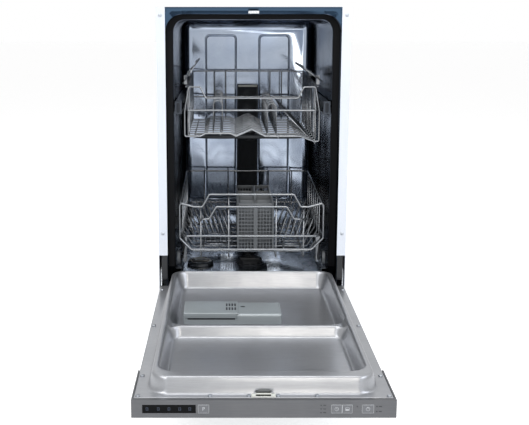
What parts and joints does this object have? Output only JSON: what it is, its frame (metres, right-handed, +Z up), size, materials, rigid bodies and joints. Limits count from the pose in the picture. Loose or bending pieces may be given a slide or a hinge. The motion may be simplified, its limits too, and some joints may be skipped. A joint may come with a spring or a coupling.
{
  "type": "built in dishwasher",
  "caption": "Slimline built-in dishwasher with its door open: stainless tub, sliding wire racks, spray arms, cutlery basket, dispenser and a control strip on the door's edge.",
  "frame": {"origin": "on the floor, in the middle of the room that the machine takes up with its door open", "axes": "+X to the user's right, +Y back into the machine, +Z up"},
  "size_m": [0.448, 1.1604, 0.812],
  "materials": {
    "white_enamel": "smooth bluish-white enamel",
    "galvanised": "bare galvanised sheet",
    "tub_steel": "polished stainless sheet",
    "liner_steel": "satin stainless sheet",
    "black_rubber": "soft matt rubber",
    "base_plastic": "grained black-grey plastic",
    "zinc": "bright zinc plate",
    "coated_wire": "light grey nylon coat on steel wire",
    "grey_plastic": "moulded grey plastic",
    "light_plastic": "moulded light grey plastic",
    "dark_plastic": "moulded dark grey plastic",
    "strip_plastic": "brushed dark grey control strip",
    "button_plastic": "grey push button",
    "display_glass": "smoked display window",
    "silver_plastic": "silver-grey moulding",
    "rail_steel": "rolled stainless rail",
    "felt": "bitumen-backed felt",
    "circuit_board": "green circuit board"
  },
  "bodies": {
    "cabinet": {"base_tray": "base_plastic", "side_panel_left": "white_enamel", "side_panel_right": "white_enamel", "rear_panel": "galvanised", "top_crossbars": "galvanised", "tub_shell": "tub_steel", "tub_floor": "tub_steel", "tub_seal": "black_rubber", "latch_striker": "zinc", "hinge_covers": "light_plastic", "flange_plugs": "light_plastic", "filter_plate": "tub_steel", "sump": "dark_plastic", "water_softener": "light_plastic", "circulation_pump": "dark_plastic", "drain_pump": "dark_plastic", "inlet_valve": "light_plastic", "air_break_tank": "light_plastic", "spray_duct": "dark_plastic", "hinge_brackets": "zinc", "door_springs": "zinc"},
    "door": {"door_liner": "liner_steel", "door_outer_panel": "galvanised", "door_insulation": "felt", "control_panel": "strip_plastic", "display_window": "display_glass", "control_board": "circuit_board", "door_latch": "dark_plastic", "door_screws": "zinc", "hinge_arms": "zinc", "dispenser_housing": "silver_plastic"},
    "front_foot_left": {"front_foot_left": "dark_plastic"},
    "front_foot_right": {"front_foot_right": "dark_plastic"},
    "rear_foot": {"rear_foot": "dark_plastic"},
    "latch_claw": {"latch_claw": "zinc"},
    "programme_button": {"programme_button": "button_plastic"},
    "delay_button": {"delay_button": "button_plastic"},
    "half_load_button": {"half_load_button": "button_plastic"},
    "start_button": {"start_button": "button_plastic"},
    "detergent_lid": {"detergent_lid": "silver_plastic"},
    "rinse_aid_cap": {"rinse_aid_cap": "grey_plastic"},
    "upper_slide_rails": {"upper_slide_rails": "rail_steel"},
    "upper_rack": {"upper_rack_frame": "coated_wire", "upper_rack_floor": "coated_wire", "upper_spray_feed": "dark_plastic"},
    "upper_rollers_front": {"upper_rollers_front": "light_plastic"},
    "upper_rollers_rear": {"upper_rollers_rear": "light_plastic"},
    "wall_rollers": {"wall_rollers": "light_plastic"},
    "cup_shelf_left": {"cup_shelf_left": "coated_wire"},
    "cup_shelf_right": {"cup_shelf_right": "coated_wire"},
    "upper_spray_arm": {"upper_spray_arm": "dark_plastic"},
    "lower_rack": {"lower_rack_frame": "coated_wire", "lower_rack_floor": "coated_wire"},
    "lower_wheels_front": {"lower_wheels_front": "grey_plastic"},
    "lower_wheels_rear": {"lower_wheels_rear": "grey_plastic"},
    "cutlery_basket": {"cutlery_basket": "grey_plastic"},
    "lower_spray_arm": {"lower_spray_arm": "dark_plastic"},
    "filter_cylinder": {"filter_cylinder": "dark_plastic"},
    "salt_cap": {"salt_cap": "dark_plastic"}
  },
  "joints": [
    {"name": "door_hinge", "type": "hinge", "parent": "cabinet", "child": "door", "pos_m": [0, 0.0555, 0.1795], "axis": [-1, 0, 0], "range_deg": [0, 90], "deforming": ["door_springs"]},
    {"name": "claw_pivot", "type": "hinge", "parent": "door", "child": "latch_claw", "pos_m": [0, -0.549, 0.14], "axis": [1, 0, 0], "range_deg": [-8, 8], "stiffness_Nm_per_rad": 0.2},
    {"name": "programme_button_push", "type": "slide", "parent": "door", "child": "programme_button", "axis": [0, -1, 0], "range_m": [-0.0015, 0], "stiffness_N_per_m": 300},
    {"name": "delay_button_push", "type": "slide", "parent": "door", "child": "delay_button", "axis": [0, -1, 0], "range_m": [-0.0015, 0], "stiffness_N_per_m": 300},
    {"name": "half_load_button_push", "type": "slide", "parent": "door", "child": "half_load_button", "axis": [0, -1, 0], "range_m": [-0.0015, 0], "stiffness_N_per_m": 300},
    {"name": "start_button_push", "type": "slide", "parent": "door", "child": "start_button", "axis": [0, -1, 0], "range_m": [-0.0015, 0], "stiffness_N_per_m": 300},
    {"name": "detergent_lid_slide", "type": "slide", "parent": "door", "child": "detergent_lid", "axis": [0, 1, 0], "range_m": [-0.03, 0]},
    {"name": "rinse_cap_turn", "type": "hinge", "parent": "door", "child": "rinse_aid_cap", "pos_m": [0.026, -0.198, 0.18], "axis": [0, 0, 1], "range_deg": [-90, 0]},
    {"name": "upper_rails_slide", "type": "slide", "parent": "cabinet", "child": "upper_slide_rails", "axis": [0, 1, 0], "range_m": [-0.19, 0]},
    {"name": "upper_rack_slide", "type": "slide", "parent": "upper_slide_rails", "child": "upper_rack", "axis": [0, 1, 0], "range_m": [-0.19, 0]},
    {"name": "upper_rollers_front_spin", "type": "hinge", "parent": "upper_rack", "child": "upper_rollers_front", "pos_m": [0, 0.28, 0.578], "axis": [1, 0, 0], "range_deg": [-5, 1000]},
    {"name": "upper_rollers_rear_spin", "type": "hinge", "parent": "upper_rack", "child": "upper_rollers_rear", "pos_m": [0, 0.455, 0.578], "axis": [1, 0, 0], "range_deg": [-5, 1000]},
    {"name": "wall_rollers_spin", "type": "hinge", "parent": "cabinet", "child": "wall_rollers", "pos_m": [0, 0.09, 0.578], "axis": [1, 0, 0], "range_deg": [-5, 1000]},
    {"name": "cup_shelf_left_fold", "type": "hinge", "parent": "upper_rack", "child": "cup_shelf_left", "pos_m": [-0.162, 0.23, 0.64575], "axis": [0, -1, 0], "range_deg": [-55, 5]},
    {"name": "cup_shelf_right_fold", "type": "hinge", "parent": "upper_rack", "child": "cup_shelf_right", "pos_m": [0.16125, 0.23, 0.6465], "axis": [0, 1, 0], "range_deg": [-35, 20]},
    {"name": "upper_arm_spin", "type": "hinge", "parent": "upper_rack", "child": "upper_spray_arm", "pos_m": [0, 0.28, 0.48], "axis": [0, 0, 1], "continuous": true},
    {"name": "lower_rack_slide", "type": "slide", "parent": "cabinet", "child": "lower_rack", "axis": [0, 1, 0], "range_m": [-0.4, 0]},
    {"name": "lower_wheels_front_spin", "type": "hinge", "parent": "lower_rack", "child": "lower_wheels_front", "pos_m": [0, 0.112, 0.1973], "axis": [1, 0, 0], "range_deg": [-5, 1400]},
    {"name": "lower_wheels_rear_spin", "type": "hinge", "parent": "lower_rack", "child": "lower_wheels_rear", "pos_m": [0, 0.454, 0.1973], "axis": [1, 0, 0], "range_deg": [-5, 1400]},
    {"name": "basket_lift", "type": "slide", "parent": "lower_rack", "child": "cutlery_basket", "axis": [0, 0, -1], "range_m": [-0.11, 0]},
    {"name": "lower_arm_spin", "type": "hinge", "parent": "cabinet", "child": "lower_spray_arm", "pos_m": [0, 0.315, 0.174], "axis": [0, 0, 1], "continuous": true},
    {"name": "filter_turn", "type": "hinge", "parent": "cabinet", "child": "filter_cylinder", "pos_m": [0, 0.23, 0.15], "axis": [0, 0, 1], "range_deg": [-90, 0]},
    {"name": "salt_cap_turn", "type": "hinge", "parent": "cabinet", "child": "salt_cap", "pos_m": [-0.13, 0.225, 0.15], "axis": [0, 0, 1], "range_deg": [-90, 0]},
    {"name": "front_foot_left_screw", "type": "slide", "parent": "cabinet", "child": "front_foot_left", "axis": [0, 0, 1], "range_m": [-0.02, 0]},
    {"name": "front_foot_right_screw", "type": "slide", "parent": "cabinet", "child": "front_foot_right", "axis": [0, 0, 1], "range_m": [-0.02, 0]},
    {"name": "rear_foot_screw", "type": "slide", "parent": "cabinet", "child": "rear_foot", "axis": [0, 0, 1], "range_m": [-0.02, 0]}
  ],
  "couplings": [
    {"joint": "upper_rack_slide", "follows": "upper_rails_slide", "ratio": 1},
    {"joint": "upper_rollers_front_spin", "follows": "upper_rails_slide", "rad_per_m": -89.286},
    {"joint": "upper_rollers_rear_spin", "follows": "upper_rails_slide", "rad_per_m": -89.286},
    {"joint": "wall_rollers_spin", "follows": "upper_rails_slide", "rad_per_m": -89.286},
    {"joint": "lower_wheels_front_spin", "follows": "lower_rack_slide", "rad_per_m": -58.824},
    {"joint": "lower_wheels_rear_spin", "follows": "lower_rack_slide", "rad_per_m": -58.824}
  ]
}
